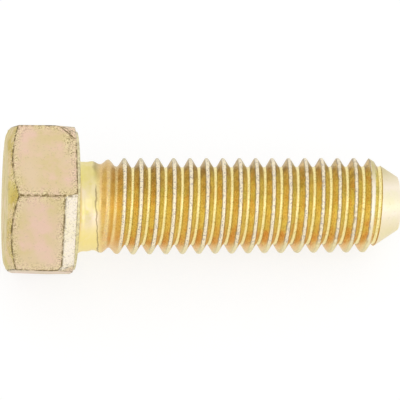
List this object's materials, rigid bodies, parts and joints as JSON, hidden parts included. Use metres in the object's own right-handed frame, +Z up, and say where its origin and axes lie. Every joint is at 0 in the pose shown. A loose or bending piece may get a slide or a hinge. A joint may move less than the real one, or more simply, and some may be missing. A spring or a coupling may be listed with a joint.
{
  "type": "hex cap screw",
  "caption": "Hex-head cap screw with a washer face, a short plain neck, a fully threaded shank with a left-hand thread and a coned point, in yellow zinc plate.",
  "frame": {"origin": "in the bearing face under the head, where the shank's axis leaves it", "axes": "+X runs from the head to the point, +Z is up as the screw lies, with one flat of the head down and the point dipping to rest on a crest"},
  "size_m": [0.0385, 0.0161, 0.0143],
  "materials": {
    "yellow_zinc": "cold-formed steel with yellow-chromated zinc plate: pale tan satin on the head, brighter gold in the thread"
  },
  "bodies": {
    "root": {"cap_screw": "yellow_zinc"}
  },
  "joints": []
}
